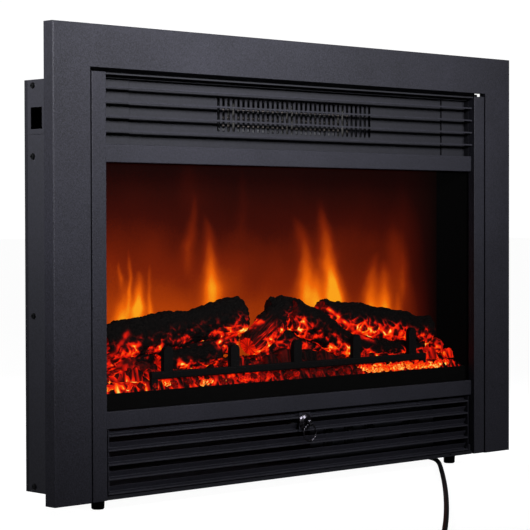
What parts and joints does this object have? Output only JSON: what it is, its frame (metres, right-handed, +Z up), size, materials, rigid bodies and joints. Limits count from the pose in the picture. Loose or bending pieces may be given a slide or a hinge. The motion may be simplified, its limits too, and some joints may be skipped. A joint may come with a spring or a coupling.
{
  "type": "electric fireplace",
  "caption": "Electric fireplace insert with a flat surround, glass window over artificial logs and flame screen, fan heater grille and drop-down control door.",
  "frame": {"origin": "on the floor under the middle of the casing and surround, the cord left out", "axes": "+X to the right as seen from the front, +Y from the window to the rear cover, +Z up"},
  "size_m": [0.724, 0.7461, 0.5062],
  "materials": {
    "charcoal_powder_coat": "satin",
    "black_steel": "satin",
    "bright_screw": "plated",
    "black_rubber": "matte",
    "clear_glass": "clear",
    "frosted_screen": "frosted",
    "grate_iron": "matte",
    "log_resin": "bark texture",
    "ember_resin": "glowing, translucent",
    "plain_steel": "zinc plated",
    "foil_aluminium": "bright",
    "white_plastic": "matte",
    "black_plastic": "matte",
    "rocker_gloss": "gloss",
    "board_green": "solder mask",
    "dark_metal": "satin",
    "cord_rubber": "matte",
    "pin_brass": "bright"
  },
  "bodies": {
    "casing": {"base_plate": "black_steel", "blower_housing": "plain_steel", "blower_motor": "plain_steel", "cable_gland": "cord_rubber", "casing_screws": "bright_screw", "control_board": "board_green", "control_panel": "black_steel", "cord_coil": "cord_rubber", "door_hinge_pins": "black_steel", "ember_bed": "ember_resin", "feet": "black_rubber", "fire_grate": "grate_iron", "firebox_liner": "black_steel", "flame_screen": "frosted_screen", "flame_stencil": "black_steel", "frame_brackets": "black_steel", "glass_pane": "clear_glass", "grille_blades": "charcoal_powder_coat", "hearth_lip": "black_steel", "heater_shelf": "plain_steel", "heating_coil": "plain_steel", "led_boards": "board_green", "log_back_left": "log_resin", "log_back_right": "log_resin", "log_centre": "log_resin", "log_front_right": "log_resin", "log_low_left": "log_resin", "log_low_right": "log_resin", "lower_bar": "charcoal_powder_coat", "magnet_catch": "black_plastic", "mica_plates": "white_plastic", "middle_bar": "charcoal_powder_coat", "outlet_cheeks": "black_steel", "outlet_panel": "black_steel", "plug": "cord_rubber", "plug_pins": "pin_brass", "power_cord": "cord_rubber", "rear_cover": "black_steel", "rocker_housings": "black_plastic", "side_wall_left": "black_steel", "side_wall_right": "black_steel", "spindle_brackets": "plain_steel", "spindle_bushes": "white_plastic", "spindle_motor": "plain_steel", "surround_frame": "charcoal_powder_coat", "thermal_cutout": "black_plastic", "top_header": "black_steel", "top_panel": "black_steel", "trim_channel_left": "charcoal_powder_coat", "trim_channel_right": "charcoal_powder_coat"},
    "door": {"control_door": "charcoal_powder_coat", "pull_boss": "dark_metal"},
    "ring": {"ring_pull": "dark_metal"},
    "rocker_1": {"rocker_key_1": "rocker_gloss"},
    "rocker_2": {"rocker_key_2": "rocker_gloss"},
    "rocker_3": {"rocker_key_3": "rocker_gloss"},
    "dial": {"thermostat_knob": "black_plastic"},
    "blower_rotor": {"blower_impeller": "foil_aluminium"},
    "flicker": {"spindle_petals": "foil_aluminium", "spindle_shaft": "plain_steel"}
  },
  "joints": [
    {"name": "door_hinge", "type": "hinge", "parent": "casing", "child": "door", "pos_m": [0, -0.0438, 0.0206], "axis": [1, 0, 0], "range_deg": [0, 90]},
    {"name": "ring_swing", "type": "hinge", "parent": "door", "child": "ring", "pos_m": [0, -0.0554, 0.0714], "axis": [1, 0, 0], "range_deg": [-95, 15]},
    {"name": "rocker_1_tilt", "type": "hinge", "parent": "casing", "child": "rocker_1", "pos_m": [0.066, -0.0185, 0.0504], "axis": [1, 0, 0], "range_deg": [-20, 0]},
    {"name": "rocker_2_tilt", "type": "hinge", "parent": "casing", "child": "rocker_2", "pos_m": [0.101, -0.0185, 0.0504], "axis": [1, 0, 0], "range_deg": [-20, 0]},
    {"name": "rocker_3_tilt", "type": "hinge", "parent": "casing", "child": "rocker_3", "pos_m": [0.136, -0.0185, 0.0504], "axis": [1, 0, 0], "range_deg": [-20, 0]},
    {"name": "dial_turn", "type": "hinge", "parent": "casing", "child": "dial", "pos_m": [0.206, -0.026, 0.0504], "axis": [0, 1, 0], "range_deg": [0, 270]},
    {"name": "blower_spin", "type": "hinge", "parent": "casing", "child": "blower_rotor", "pos_m": [0, 0.014, 0.4174], "axis": [1, 0, 0], "continuous": true},
    {"name": "flicker_spin", "type": "hinge", "parent": "casing", "child": "flicker", "pos_m": [0, 0.032, 0.1244], "axis": [1, 0, 0], "continuous": true}
  ]
}
